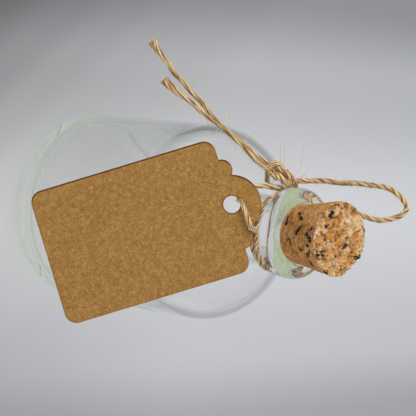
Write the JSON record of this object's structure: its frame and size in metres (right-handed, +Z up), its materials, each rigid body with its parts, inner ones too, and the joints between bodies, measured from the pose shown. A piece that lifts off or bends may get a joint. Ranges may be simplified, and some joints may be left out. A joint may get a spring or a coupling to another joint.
{
  "type": "corked glass bottle",
  "caption": "Squat clear glass bottle with a rounded shoulder, rolled lip, tapered cork stopper and a kraft tag tied on with jute twine.",
  "frame": {"origin": "middle of the foot ring, on the surface that the bottle stands on", "axes": "+Z up along the bottle's axis towards the cork; -Y towards the side on which the tag lies; the knot and the loose ends are on the -X side"},
  "size_m": [0.0853, 0.0913, 0.1178],
  "materials": {
    "glass": "blown, fire-polished, faint green",
    "cork": "pressed cork granules, dry and rough",
    "kraft_card": "uncoated brown kraft card",
    "jute": "twisted jute fibre, hairy"
  },
  "bodies": {
    "bottle": {"glass_bottle": "glass", "kraft_tag": "kraft_card", "neck_wraps": "jute", "knot": "jute", "hang_loop": "jute", "tail_long": "jute", "tail_short": "jute", "tag_tie": "jute"},
    "cork": {"cork_stopper": "cork"}
  },
  "joints": [
    {"name": "cork_pull", "type": "slide", "parent": "bottle", "child": "cork", "axis": [0, 0, 1], "range_m": [0, 0.03]}
  ]
}
